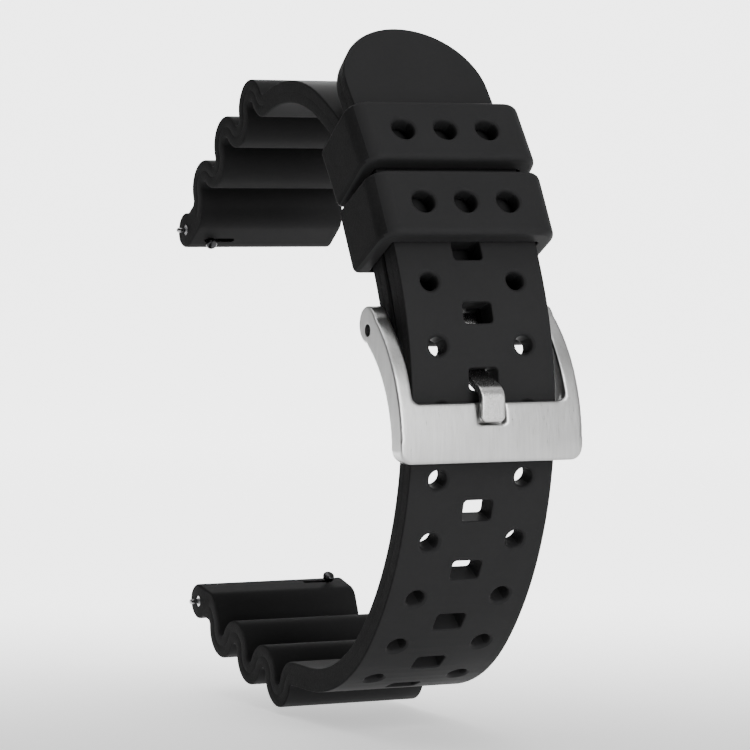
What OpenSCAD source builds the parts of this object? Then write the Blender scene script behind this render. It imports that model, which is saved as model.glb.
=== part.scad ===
// Wavy rubber dive-watch strap with a steel tang buckle, closed into a loop.
// Millimetres. +Z is up, Y runs across the strap and X points from the watch to the buckle.
// The origin is the middle of the upper lug bar, on its axis.
// Each strap follows a route in the X-Z plane: the bends and straight runs of its middle line.

/* [Straps] */
// Width between the watch lugs
lug_width = 22; // [20:0.5:24]
// Width of both straps past the waves
strap_width = 20; // [18:0.5:22]
// Thickness of the short strap, which carries the buckle
short_t = 3; // [2.6:0.1:3.3]
// Thickness of the long strap, the tail with the holes
tail_t = 3.1; // [2.6:0.1:3.4]
// Gap between the two straps where they lap
lap_gap = 0.7; // [0.5:0.1:1]
// Radius of the rubber round a lug bar
lug_end_r = 2.4; // [2.1:0.1:2.8]
// Radius of the rubber round the buckle bar
buckle_end_r = 2.15; // [1.95:0.05:2.4]
// Width of the cut in the short strap's end that the tongue's eye sits in
tongue_cut_w = 4; // [3.8:0.1:6]
// Height of that cut above the buckle bar
tongue_cut_rise = 3.4; // [3:0.1:6]

/* [Waves] */
// Bend radius of every wave, on the middle line
wave_r = 2.31; // [2.2:0.01:3]
// Direction in which the short strap leaves the upper lug bar, above level
short_heading = 34.55; // [25:0.05:45]
// Short strap: straight neck, from the lug bar to the first wave
short_neck = 3.7; // [3.2:0.1:5]
// Short strap: bend from the neck up to the first crest
short_first_turn = 79.85; // [70:0.05:90]
// Short strap: bend over each crest, from the lug outwards
short_crest_turns = [151, 163.8, 166.7]; // [140:0.05:170]
// Short strap: bend through each valley
short_valley_turn = 154.7; // [145:0.05:165]
// Short strap: bend out of the last crest
short_last_turn = 75.4; // [65:0.05:85]
// Tail: straight neck, from the lower lug bar to the first wave
tail_neck = 3.55; // [3.2:0.05:5]
// Tail: bend from the neck up to the first crest
tail_first_turn = 80.4; // [70:0.05:90]
// Tail: bend over each crest, from the lug outwards
tail_crest_turns = [153.85, 161.5, 166.7]; // [140:0.05:170]
// Tail: bend through each valley
tail_valley_turn = 157; // [145:0.05:165]
// Tail: bend out of the last crest
tail_last_turn = 76.55; // [65:0.05:85]

/* [Loop] */
// Short strap: straight run after the waves
short_run = 1.4; // [0:0.1:6]
// Short strap: radius and turn of its shoulder bend, after that run
shoulder = [21.5, 43.6]; // [10:0.1:60]
// Short strap: radius and turn of its nearly straight crown
crown = [75.6, 3.5]; // [2:0.1:120]
// Short strap: radius and turn of its front bend, down to the lap
front = [19.7, 24.3]; // [10:0.1:40]
// Radius of the gentle bend in which the two straps lap, on the short strap
lap_r = 78.5; // [60:0.5:120]
// Turn of the short strap through the lap
lap_turn = 17; // [14:0.1:20]
// How far above the buckle bar the tail leaves the lap, as a turn of the lap
tail_lift = 2.98; // [2.5:0.01:4]
// Tail: length of its outer face from there up to its tip
tail_past = 39.4; // [36:0.1:50]
// Tail: radius and turn of its front bend, behind the crossbar
tail_front = [41.05, 68]; // [20:0.05:80]
// Tail: radius and turn of its bend below the loop
tail_under = [24.07, 45.5]; // [15:0.01:60]
// Tail: straight run before the waves
tail_run = 4.94; // [3:0.01:12]

/* [Holes] */
// Distance from one row of holes to the next, on the outer face
hole_pitch = 8.36; // [7.5:0.02:8.8]
// Number of rows of tongue holes
tongue_rows = 9; // [6:1:9]
// Which tongue hole the buckle is fastened in, counted from the tip
used_row = 3; // [3:1:4]
// Tongue hole: width across the strap
tongue_hole_w = 4; // [3.7:0.1:5]
// Tongue hole: length along the strap
tongue_hole_h = 2.7; // [2.4:0.1:3.2]
// Tongue hole: radius of its corners
tongue_hole_corner = 0.5; // [0.2:0.1:0.8]
// Round vent hole: diameter
vent_d = 2.6; // [2:0.1:3]
// Round vent hole: distance from the middle of the strap
vent_offset = 5.98; // [5:0.02:7]

/* [Keepers] */
// Length of a keeper along the tail
keeper_len = 9.1; // [8:0.1:9.4]
// Gap between the two keepers, on the tail's outer face
keeper_gap = 1.35; // [1.35:0.05:2.5]
// Distance from the lower keeper's middle down to where the tail leaves the lap
keeper_above = 9.7; // [9.5:0.1:11]
// Wall over the tail
keeper_wall = 2.5; // [1.5:0.1:2.8]
// Wall under the short strap
keeper_in_wall = 0.85; // [0.7:0.05:1.2]
// Wall beside the straps
keeper_side_wall = 2.1; // [1.2:0.1:2.4]
// Clearance over the tail and beside both straps
keeper_clear = 0.2; // [0.15:0.05:0.3]
// Clearance under the short strap
keeper_in_clear = 0.7; // [0.5:0.05:1]
// Radius of the long outer corners
keeper_corner = 2.7; // [1.2:0.1:3]
// Radius of the hollow's corners
keeper_in_corner = 0.4; // [0.2:0.1:0.6]
// Radius of the other corners and of the end edges
keeper_edge = 0.9; // [0.4:0.1:1]
// Round hole: diameter
keeper_hole_d = 3; // [2:0.1:4]
// Round hole: distance from the next
keeper_hole_gap = 5.9; // [5:0.1:6.6]

/* [Buckle] */
// Gap between the strap's edge and an arm
arm_gap = 0.6; // [0.4:0.1:1]
// Thickness of an arm, across the strap
arm_t = 2; // [1.5:0.1:2.5]
// Outer edge of an arm: radius, and how far its centre lies below the bar
arm_outer = [20.13, 14.16]; // [12:0.01:24]
// Inner edge of an arm: radius, and how far its centre lies below the bar
arm_inner = [16.02, 15.09]; // [12:0.01:20]
// Width of an arm, seen from the side, at its lower end
arm_low_w = 2.83; // [2.5:0.01:4]
// Boss round the bar's end: radius
boss_r = 2.35; // [2:0.05:2.6]
// Boss: its centre, out and up from the bar
boss_centre = [-0.2, 0.65]; // [-1:0.05:1]
// Top edge of the crossbar, below the bar
crossbar_top = 8.85; // [8.5:0.05:10]
// Lower edge of the frame, below the bar
frame_drop = 16.2; // [15.5:0.1:18]
// Thickness of the crossbar at its middle
crossbar_t = 2.22; // [2:0.02:3]
// Gap between the crossbar and the tail
crossbar_gap = 0.3; // [0.2:0.05:0.6]
// Radius of the frame's lower corners, seen from the front
frame_corner = 1.5; // [0.5:0.1:3]
// Radius of the window's lower corners
window_corner = 1; // [0.3:0.1:2]
// Radius of an arm's lower inner corner, seen from the side
arm_foot_r = 1.8; // [0.5:0.1:2.2]
// How far the frame leans in from the line of the strap's end
frame_lean = 19.3; // [17:0.1:21]

/* [Tongue] */
// Width of the tongue
tongue_w = 3.3; // [2.6:0.1:3.5]
// Thickness of the tongue
tongue_t = 1.1; // [0.8:0.05:1.2]
// Clearance of its eye on the bar's tube
eye_clear = 0.05; // [0.03:0.01:0.1]
// Direction of the tongue's drop from its eye, below level
tongue_slope = 78; // [75:0.5:82]
// How far below the bar it goes out through the tail
tongue_drop = 6.65; // [6.2:0.05:7.2]
// Clearance under it in the tongue hole
tongue_hole_clear = 0.1; // [0.1:0.01:0.3]
// Bend where it turns out through the tail
tongue_in_r = 1.2; // [1:0.05:1.5]
// Bend where it turns down over the crossbar
tongue_over_r = 1.65; // [1.4:0.05:2]
// How far its middle stands out from the crossbar's top edge
tongue_proud = 0.38; // [0.2:0.02:0.6]
// Its tip, below the bar
tongue_reach = 11.2; // [10.6:0.1:12]
// Radius of the corners of its tip
tongue_tip_r = 0.8; // [0.3:0.1:1.2]
// Clearance under the tip in its notch
notch_clear = 0.15; // [0.1:0.01:0.3]
// Clearance beside and below the tip in its notch
notch_side_clear = 0.3; // [0.2:0.05:0.5]
// Radius of the notch's lower corners
notch_corner = 0.5; // [0.2:0.1:0.8]

/* [Bars] */
// Lug bar: radius of its tube
lug_tube_r = 0.75; // [0.7:0.01:0.9]
// Lug bar: radius of the pin tips, which enter the watch lugs
lug_tip_r = 0.36; // [0.3:0.01:0.37]
// Lug bar: length of each tip past the strap's edge
lug_tip_out = 1.2; // [0.8:0.1:1.5]
// Lug bar: radius of the stem behind each tip
lug_stem_r = 0.4; // [0.38:0.01:0.45]
// Lug bar: length of each stem past the strap's edge
lug_stem_out = 0.05; // [0.02:0.01:0.1]
// Lug bar: distance of the tube's ends inside the strap's edges
lug_tube_in = 0.1; // [0.05:0.05:0.3]
// Lug bar: length of the fixed pin's plunger
lug_fixed_len = 2.4; // [2:0.1:3]
// Buckle bar: radius of its tube
buckle_tube_r = 0.9; // [0.85:0.01:1]
// Buckle bar: radius of the pin tips, which enter the arms
buckle_tip_r = 0.5; // [0.4:0.01:0.55]
// Buckle bar: radius of the stem behind each tip
buckle_stem_r = 0.52; // [0.5:0.01:0.58]
// Buckle bar: gap between each stem and the arm
buckle_stem_gap = 0.1; // [0.05:0.01:0.15]
// Buckle bar: gap between the tube and each arm
buckle_tube_gap = 0.3; // [0.2:0.05:0.4]
// Buckle bar: depth of a tip below the arm's outer face
buckle_tip_sunk = 0.5; // [0.2:0.1:0.8]
// Every pin: how much wider its stem is at the plunger than at the tip
stem_taper = 0.02; // [0.01:0.01:0.025]
// Bevel on the tip of every pin
pin_point = 0.15; // [0.05:0.01:0.2]
// Wall of both tubes
tube_wall = 0.17; // [0.15:0.01:0.18]
// Length of a tube's narrowed end
crimp_len = 0.4; // [0.3:0.1:0.6]
// Clearance of each stem and plunger in the tube
pin_clear = 0.04; // [0.03:0.01:0.06]
// Clearance of a tube in the rubber
bore_clear = 0.04; // [0.03:0.01:0.1]
// Clearance of a tip in the buckle's arm
pivot_clear = 0.075; // [0.05:0.005:0.1]
// Travel of every sprung pin
pin_travel = 1.5; // [1.2:0.1:1.8]
// Length of the plunger behind a buckle pin's tip
buckle_plunger_len = 6; // [5:0.1:6.5]
// Length of the spring in a lug bar at rest
lug_spring_len = 6; // [5:0.1:7]
// Number of coils in each spring
spring_coils = 12; // [8:1:13]
// Radius of the spring wire
spring_wire_r = 0.1; // [0.08:0.01:0.11]

/* [Release knobs] */
// Distance from the strap's edge to a knob's middle
knob_inset = 2.8; // [2.5:0.1:4]
// Radius of the stud
stud_r = 0.28; // [0.2:0.01:0.32]
// Radius of the head
knob_r = 0.8; // [0.6:0.05:1]
// Thickness of the head
knob_t = 0.8; // [0.5:0.1:1]
// Gap between the rubber and the head
knob_gap = 0.7; // [0.4:0.1:1]
// Lean of the knob towards the strap, from square to it
knob_lean = 22.5; // [15:0.5:30]
// Width of the finger slot in the rubber
finger_slot_w = 0.8; // [0.75:0.05:1.2]
// Length of the finger slot
finger_slot_len = 4.5; // [3.8:0.1:5.5]
// Finger slot: how far it runs past the stud, towards the strap's edge
finger_slot_past = 0.5; // [0.3:0.1:1]
// Clearance of the stud in the tube's slot
stud_clear = 0.1; // [0.05:0.01:0.15]

/* [Hidden] */
$fn = 96;
rubber = "#2e2f31";
steel = "#c4c5c7";
bright_steel = "#dadbdd";
// Overrun of a cutting solid past the face that it cuts
over = 1;
// Smallest gap between pieces that touch on the real strap
seat = 0.02;
// Largest turn and length of one facet of a bend
facet_turn = 5;
facet_len = 1.5;

// Routes
// A pose is [x, z, heading]; a step is [radius, turn] for a bend, left turns positive,
// or [0, length] for a straight run.
function left(h) = [-sin(h), cos(h)];
function turned(v, a) = [v[0] * cos(a) - v[1] * sin(a), v[0] * sin(a) + v[1] * cos(a)];
function bend_centre(p, step) = [p[0], p[1]] + sign(step[1]) * step[0] * left(p[2]);
function after(p, step) =
    step[0] == 0
    ? [p[0] + step[1] * cos(p[2]), p[1] + step[1] * sin(p[2]), p[2]]
    : let (h = p[2] + step[1], end = bend_centre(p, step) - sign(step[1]) * step[0] * left(h))
      [end[0], end[1], h];
function pose_at(p, route, n) = n == 0 ? p : after(pose_at(p, route, n - 1), route[n - 1]);
function end_of(p, route) = pose_at(p, route, len(route));
function reversed(list) = [for (i = [len(list) - 1 : -1 : 0]) list[i]];

// Length of the left face of one step of a band that is t thick
function face_len(step, t) =
    step[0] == 0 ? step[1] : (step[0] - sign(step[1]) * t / 2) * abs(step[1]) * PI / 180;
// Pose on the middle line where a length s has been passed on the left face
function along(p, route, t, s, i = 0) =
    let (step = route[i], length = face_len(step, t))
    s <= length || i == len(route) - 1
    ? after(p, [step[0], step[1] * s / length])
    : along(after(p, step), route, t, s - length, i + 1);

// Points of an arc
function arc_points(c, r, from, to, n = 10) =
    [for (k = [0 : n]) let (a = from + (to - from) * k / n) c + r * [cos(a), sin(a)]];

// Number of facets in one step
function step_facets(step) =
    step[0] == 0 ? 1
    : ceil(max(abs(step[1]) / facet_turn, step[0] * abs(step[1]) * PI / 180 / facet_len));
// Points of the face that lies offset to the left of a route
function face_points(p, route, offset) = [
    for (i = [0 : len(route)])
    let (from = pose_at(p, route, i), step = i < len(route) ? route[i] : [0, 0], n = step_facets(step))
    for (k = [0 : n - 1])
    let (q = after(from, [step[0], step[1] * k / n]))
    [q[0], q[1]] + offset * left(q[2])];

// Three waves: up, over each crest and through each valley, and out again
function waves(first, crests, valley, last) = concat(
    [for (i = [0 : len(crests) - 1]) each
        [[wave_r, i == 0 ? first : valley], [wave_r, -crests[i]]]],
    [[wave_r, last]]);

// Short strap, from the upper lug bar to the buckle; its outer face is on the left
short_waves = waves(short_first_turn, short_crest_turns, short_valley_turn, short_last_turn);
short_wavy = concat([[0, short_neck]], short_waves);
short_flat = [
    [0, short_run], [shoulder[0], -shoulder[1]], [crown[0], -crown[1]], [front[0], -front[1]],
    [lap_r, -lap_turn]];
short_start = [0, 0, short_heading];
short_flat_start = end_of(short_start, short_wavy);
short_end = end_of(short_flat_start, short_flat);
lap_centre = bend_centre(short_end, [lap_r, -lap_turn]);

// Buckle bar: its eye in the rubber is flush with the strap's outer face
bar = [short_end[0], short_end[1]] - (buckle_end_r - short_t / 2) * left(short_end[2]);
// The buckle has axes of its own, with the frame hanging down its second axis
buckle_turn = short_end[2] + 90 - frame_lean;
function in_buckle(p) = turned([p[0], p[1]] - bar, -buckle_turn);

// Tail, from its tip to the lower lug bar; its outer face is on the left
tail_lap_r = lap_r + short_t / 2 + lap_gap + tail_t / 2;
tail_face_r = tail_lap_r + tail_t / 2;
lift_heading = short_end[2] + tail_lift;
// The free end of the tail is straight: its half circle and a short stretch more
tip_stretch = 4;
tip_len = strap_width / 2 + tip_stretch;
past_turn = (tail_past - tip_len) / tail_face_r * 180 / PI;
tail_wavy = concat(
    reversed(waves(tail_first_turn, tail_crest_turns, tail_valley_turn, tail_last_turn)),
    [[0, tail_neck]]);
tail_flat = [
    [0, tip_len], [tail_lap_r, -past_turn], [tail_front[0], -tail_front[1]],
    [tail_under[0], -tail_under[1]], [0, tail_run]];
function on_lap(heading, r) =
    let (p = lap_centre + r * left(heading)) [p[0], p[1], heading];
tail_past_pose = on_lap(lift_heading + past_turn, tail_lap_r);
tail_start = after(tail_past_pose, [0, -tip_len]);
tail_lift_pose = on_lap(lift_heading, tail_lap_r);
front_centre = bend_centre(tail_lift_pose, [tail_front[0], -tail_front[1]]);
front_face_r = tail_front[0] + tail_t / 2;
tail_wavy_start = end_of(tail_start, tail_flat);
tail_end = end_of(tail_wavy_start, tail_wavy);

// Holes: the tongue rests on the lower edge of the hole that it is fastened in
tail_centre_in_buckle = in_buckle(front_centre);
used_hole_z = -tongue_drop - tongue_t / 2 - tongue_hole_clear + tongue_hole_h / 2;
used_hole_angle = asin((used_hole_z - tail_centre_in_buckle[1]) / front_face_r) + buckle_turn;
used_hole_s = tail_past + front_face_r * (lift_heading + 90 - used_hole_angle) * PI / 180;
function tongue_hole_s(k) = used_hole_s + (k - used_row) * hole_pitch;
function vent_s(k) = tongue_hole_s(k) + hole_pitch / 2;

// Keepers: both slide on the lap, about its centre; heights are from the tail's outer face
keeper_hollow = [-tail_t - lap_gap - short_t - keeper_in_clear, keeper_clear];
keeper_low = keeper_hollow[0] - keeper_in_wall;
keeper_high = keeper_hollow[1] + keeper_wall;
keeper_hollow_w = strap_width + 2 * keeper_clear;
keeper_w = keeper_hollow_w + 2 * keeper_side_wall;
lower_keeper_angle = lift_heading + 90 + keeper_above / tail_face_r * 180 / PI;
upper_keeper_angle = lower_keeper_angle + (keeper_len + keeper_gap) / tail_face_r * 180 / PI;

// Buckle frame, in the buckle's axes
arm_in = strap_width / 2 + arm_gap;
arm_out = arm_in + arm_t;
crossbar_in_r = front_face_r + crossbar_gap;
function crossbar_in_x(z) =
    tail_centre_in_buckle[0] + sqrt(pow(crossbar_in_r, 2) - pow(z - tail_centre_in_buckle[1], 2));
arm_outer_centre = [crossbar_in_x(-arm_outer[1]) + crossbar_t - arm_outer[0], -arm_outer[1]];
arm_inner_centre =
    [arm_outer_centre[0] + arm_outer[0] - arm_low_w - arm_inner[0], -arm_inner[1]];
function frame_face_x(z) =
    arm_outer_centre[0] + sqrt(pow(arm_outer[0], 2) - pow(z - arm_outer_centre[1], 2));

// Tongue, in the buckle's axes: round the bar, down, out through the tail and over the crossbar
eye_bore_r = buckle_tube_r + eye_clear;
eye_r = eye_bore_r + tongue_t / 2;
tongue_x = frame_face_x(-crossbar_top) + tongue_proud;
tongue_fall =
    (eye_r * cos(tongue_slope) + tongue_drop - tongue_in_r * (1 - cos(tongue_slope)))
    / sin(tongue_slope);
tongue_in_x = (eye_r + tongue_in_r) * sin(tongue_slope) + tongue_fall * cos(tongue_slope);
tongue_start =
    [eye_r * sin(tongue_slope), eye_r * cos(tongue_slope), -tongue_slope];
tongue_route = [
    [0, tongue_fall], [tongue_in_r, tongue_slope],
    [0, tongue_x - tongue_over_r - tongue_in_x], [tongue_over_r, -90],
    [0, tongue_reach - tongue_drop - tongue_over_r]];

// Bars
lug_tube_half = lug_width / 2 - lug_tube_in;
lug_bore_r = lug_tube_r - tube_wall;
lug_plunger_r = lug_bore_r - pin_clear;
lug_shoulder = lug_tube_half - crimp_len - pin_clear;
knob_y = lug_width / 2 - knob_inset;
stud_len = lug_end_r + knob_gap;
buckle_tube_half = arm_in - buckle_tube_gap;
buckle_bore_r = buckle_tube_r - tube_wall;
buckle_plunger_r = buckle_bore_r - pin_clear;
buckle_shoulder = buckle_tube_half - crimp_len - pin_clear;

// Side view of a band t thick along a route
module band_side(p, route, t) {
    polygon(concat(face_points(p, route, t / 2), reversed(face_points(p, route, -t / 2))));
}

// A band w wide and t thick along a route
module band(p, route, w, t) {
    rotate([90, 0, 0]) linear_extrude(w, center = true) band_side(p, route, t);
}

// Moves a solid whose X axis points along a heading to a place in the X-Z plane
module at(place, heading) {
    translate([place[0], 0, place[1]]) rotate([0, -heading, 0]) children();
}

module rounded_rect(size, r) {
    square([size[0] - 2 * r, size[1]], center = true);
    square([size[0], size[1] - 2 * r], center = true);
    for (x = [-1, 1], y = [-1, 1])
        translate([x * (size[0] / 2 - r), y * (size[1] / 2 - r)]) circle(r);
}

// A rod along Y between two places
module rod(r, y0, y1) {
    translate([0, y0, 0]) rotate([-90, 0, 0]) cylinder(r = r, h = y1 - y0);
}

// Plan of a wavy end: lug width at the bar, narrowing to strap width at the last wave
module wavy_plan(length) {
    narrow = length - wave_r - short_t;
    polygon([
        [-lug_end_r - over, -lug_width / 2], [0, -lug_width / 2], [narrow, -strap_width / 2],
        [length + lug_end_r + wave_r, -strap_width / 2], [length + lug_end_r + wave_r, strap_width / 2],
        [narrow, strap_width / 2], [0, lug_width / 2], [-lug_end_r - over, lug_width / 2]]);
}

// Rubber that makes a neck as deep on its wrist side as round its lug bar; low is the
// lower bound of that side, on the axis square to the neck
module neck_belly(neck, low) {
    rotate([90, 0, 0]) linear_extrude(lug_width, center = true) {
        translate([0, low]) square([neck, lug_end_r]);
        intersection() {
            translate([neck, 0]) circle(lug_end_r);
            translate([neck, low]) square(lug_end_r);
        }
    }
}

// Neck and waves of one strap, seen from its lug bar, in the plan above
module wavy_end(lug, away) {
    chord = [away[0] - lug[0], away[1] - lug[1]];
    tall = 8 * wave_r;
    intersection() {
        union() {
            at(lug, 0) rod(lug_end_r, -lug_width / 2, lug_width / 2);
            children();
        }
        at(lug, atan2(chord[1], chord[0])) translate([0, 0, -tall / 2])
            linear_extrude(tall) wavy_plan(norm(chord));
    }
}

// Bore for a lug bar and the finger slot for its knob, on the side given
module lug_cuts(lug, slot_heading, side) {
    at(lug, slot_heading) {
        rod(lug_tube_r + bore_clear, -lug_width / 2 - over, lug_width / 2 + over);
        translate([0, side * (knob_y + stud_r + finger_slot_past - finger_slot_len / 2), 0])
            translate([0, -finger_slot_len / 2, -finger_slot_w / 2])
                cube([lug_end_r + over, finger_slot_len, finger_slot_w]);
    }
}

short_slot_heading = short_heading - 90 + knob_lean;
tail_slot_heading = tail_end[2] + 180 + 90 - knob_lean;

module buckle_strap() {
    color(rubber) difference() {
        union() {
            wavy_end(short_start, short_flat_start) {
                band(short_start, short_wavy, lug_width, short_t);
                at(short_start, short_heading) neck_belly(short_neck, -lug_end_r);
            }
            band(short_flat_start, short_flat, strap_width, short_t);
            at(bar, 0) rod(buckle_end_r, -strap_width / 2, strap_width / 2);
        }
        lug_cuts(short_start, short_slot_heading, -1);
        at(bar, short_end[2]) {
            rod(buckle_tube_r + bore_clear, -strap_width / 2 - over, strap_width / 2 + over);
            translate([-tongue_cut_rise, -tongue_cut_w / 2, -buckle_end_r - over])
                cube([tongue_cut_rise + buckle_end_r + over, tongue_cut_w, 2 * (buckle_end_r + over)]);
        }
    }
}

// Free end of the tail, rounded in a half circle as wide as the strap
module tail_tip() {
    at(after(tail_start, [0, strap_width / 2]), tail_start[2])
        linear_extrude(tail_t, center = true) {
            intersection() {
                circle(strap_width / 2);
                translate([-strap_width / 2, -strap_width / 2])
                    square([strap_width / 2 + tip_stretch, strap_width]);
            }
            translate([0, -strap_width / 2]) square([tip_stretch, strap_width]);
        }
}

// A cut through the tail, square to its outer face, whose plan is drawn by the child
module through_tail(s) {
    p = along(tail_start, tail_flat, tail_t, s);
    at(p, p[2]) linear_extrude(tail_t + 2 * over, center = true) children();
}

module tail_strap() {
    rest = [for (i = [1 : len(tail_flat) - 1]) tail_flat[i]];
    color(rubber) difference() {
        union() {
            tail_tip();
            band(after(tail_start, tail_flat[0]), rest, strap_width, tail_t);
            wavy_end(tail_end, tail_wavy_start) {
                band(tail_wavy_start, tail_wavy, lug_width, tail_t);
                at(tail_end, tail_end[2] + 180) neck_belly(tail_neck, 0);
            }
        }
        for (k = [1 : tongue_rows])
            through_tail(tongue_hole_s(k))
                rounded_rect([tongue_hole_h, tongue_hole_w], tongue_hole_corner);
        for (k = [1 : tongue_rows - 1], side = [-1, 1])
            through_tail(vent_s(k)) translate([0, side * vent_offset]) circle(d = vent_d);
        lug_cuts(tail_end, tail_slot_heading, 1);
    }
}

// Side view of a keeper, along the straps
module keeper_side() {
    e = keeper_edge;
    y = keeper_len / 2 - e;
    half = concat(
        arc_points([keeper_low + e, y], e, 180, 90),
        arc_points([keeper_high - e, y], e, 90, 0));
    polygon(concat(half, [for (q = reversed(half)) [q[0], -q[1]]]));
}

// Section of a keeper, across the straps: height along the first axis, width along the second
module keeper_section() {
    r = keeper_edge;
    c = keeper_corner;
    w = keeper_w / 2;
    tall = keeper_high - keeper_low;
    difference() {
        union() {
            translate([keeper_low + r, -w]) square([tall - r - c, 2 * w]);
            translate([keeper_low, -w + r]) square([tall - c, 2 * (w - r)]);
            translate([keeper_low + r, -w + c]) square([tall - r, 2 * (w - c)]);
            for (side = [-1, 1]) {
                translate([keeper_low + r, side * (w - r)]) circle(r);
                translate([keeper_high - c, side * (w - c)]) circle(c);
            }
        }
        translate([(keeper_hollow[0] + keeper_hollow[1]) / 2, 0])
            rounded_rect([keeper_hollow[1] - keeper_hollow[0], keeper_hollow_w], keeper_in_corner);
    }
}

module keeper(angle) {
    color(rubber) at(lap_centre + tail_face_r * [cos(angle), sin(angle)], angle) difference() {
        intersection() {
            linear_extrude(2 * keeper_len, center = true) keeper_section();
            rotate([90, 0, 0]) linear_extrude(keeper_w + 2 * over, center = true) keeper_side();
        }
        for (side = [-1 : 1])
            translate([-over / 2, side * keeper_hole_gap, 0]) rotate([0, 90, 0])
                cylinder(d = keeper_hole_d, h = keeper_high + over);
    }
}

module upper_keeper() {
    keeper(upper_keeper_angle);
}

module lower_keeper() {
    keeper(lower_keeper_angle);
}

// Side view of an arm, in the buckle's axes
module arm_side() {
    wide = 2 * arm_outer[0];
    difference() {
        intersection() {
            difference() {
                translate(arm_outer_centre) circle(arm_outer[0], $fn = 360);
                translate(arm_inner_centre) circle(arm_inner[0], $fn = 360);
            }
            translate([boss_centre[0], -frame_drop]) square([wide, wide]);
        }
        foot_corner();
    }
    translate(boss_centre) circle(boss_r);
}

// What the rounding takes off an arm's lower inner corner
module foot_corner() {
    x = arm_inner_centre[0]
        + sqrt(pow(arm_inner[0], 2) - pow(frame_drop + arm_inner_centre[1], 2));
    difference() {
        translate([x - over, -frame_drop - over]) square([arm_foot_r + over, arm_foot_r + over]);
        translate([x + arm_foot_r, -frame_drop + arm_foot_r]) circle(arm_foot_r);
    }
}

// Front view of the frame: a U, open at the top between the arms
module frame_front() {
    top = boss_centre[1] + boss_r + over;
    difference() {
        union() {
            translate([-arm_out, frame_corner - frame_drop])
                square([2 * arm_out, top + frame_drop - frame_corner]);
            translate([-arm_out + frame_corner, -frame_drop])
                square([2 * (arm_out - frame_corner), frame_corner]);
            for (side = [-1, 1])
                translate([side * (arm_out - frame_corner), frame_corner - frame_drop])
                    circle(frame_corner);
        }
        translate([-arm_in, window_corner - crossbar_top])
            square([2 * arm_in, top + crossbar_top]);
        translate([-arm_in + window_corner, -crossbar_top])
            square([2 * (arm_in - window_corner), window_corner]);
        for (side = [-1, 1])
            translate([side * (arm_in - window_corner), window_corner - crossbar_top])
                circle(window_corner);
    }
}

// Space that the tail passes through behind the crossbar, between the arms
module tail_way() {
    translate([tail_centre_in_buckle[0], 0, tail_centre_in_buckle[1]])
        rod(crossbar_in_r, -arm_in, arm_in, $fn = 360);
}

// Notch in the crossbar that the tongue's tip lies in
module tongue_notch() {
    w = tongue_w + 2 * notch_side_clear;
    r = notch_corner;
    depth = tongue_x - tongue_t / 2 - notch_clear;
    bottom = -tongue_reach - notch_side_clear;
    translate([depth, 0, 0]) rotate([90, 0, 90]) linear_extrude(2 * over) {
        translate([-w / 2, bottom + r]) square([w, -bottom]);
        translate([-w / 2 + r, bottom]) square([w - 2 * r, r]);
        for (side = [-1, 1])
            translate([side * (w / 2 - r), bottom + r]) circle(r);
    }
}

module buckle_frame() {
    color(steel) at(bar, buckle_turn) difference() {
        intersection() {
            rotate([90, 0, 0]) linear_extrude(2 * arm_out, center = true) arm_side();
            translate([-arm_outer[0], 0, 0]) rotate([90, 0, 90])
                linear_extrude(2 * arm_outer[0]) frame_front();
        }
        tail_way();
        tongue_notch();
        rod(buckle_tip_r + pivot_clear, -arm_out - over, arm_out + over);
    }
}

// Front view of the tongue's tip, rounded at its lower corners
module tongue_front() {
    top = buckle_tube_r + tongue_t + over;
    translate([-tongue_w / 2, tongue_tip_r - tongue_reach])
        square([tongue_w, top + tongue_reach - tongue_tip_r]);
    translate([-tongue_w / 2 + tongue_tip_r, -tongue_reach])
        square([tongue_w - 2 * tongue_tip_r, tongue_tip_r]);
    for (side = [-1, 1])
        translate([side * (tongue_w / 2 - tongue_tip_r), tongue_tip_r - tongue_reach])
            circle(tongue_tip_r);
}

module buckle_tongue() {
    color(bright_steel) at(bar, buckle_turn) difference() {
        union() {
            rod(eye_r + tongue_t / 2, -tongue_w / 2, tongue_w / 2);
            band(tongue_start, [for (i = [0 : 3]) tongue_route[i]], tongue_w, tongue_t);
            intersection() {
                band(pose_at(tongue_start, tongue_route, 4), [tongue_route[4]], tongue_w + over,
                    tongue_t);
                rotate([90, 0, 90]) linear_extrude(2 * tongue_x) tongue_front();
            }
        }
        rod(eye_bore_r, -tongue_w / 2 - over, tongue_w / 2 + over);
    }
}

// Tube of a sprung bar, narrowed at both ends so that the plungers stay in
module tube(r, bore_r, mouth_r, half) {
    difference() {
        rod(r, -half, half);
        rod(bore_r, crimp_len - half, half - crimp_len);
        rod(mouth_r, -half - over, half + over);
    }
}

// Pin whose tip points to -Y: its plunger starts behind the tube's narrowed end.
// tip and stem are [radius, distance from the bar's middle to its outer end].
module pin(tip, stem, plunger_r, shoulder, plunger_len) {
    rotate([90, 0, 0]) rotate_extrude() polygon([
        [0, shoulder - plunger_len], [plunger_r, shoulder - plunger_len], [plunger_r, shoulder],
        [stem[0] + stem_taper, shoulder], stem, [tip[0], stem[1]], [tip[0], tip[1] - pin_point],
        [tip[0] - pin_point, tip[1]], [0, tip[1]]]);
}

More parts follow.
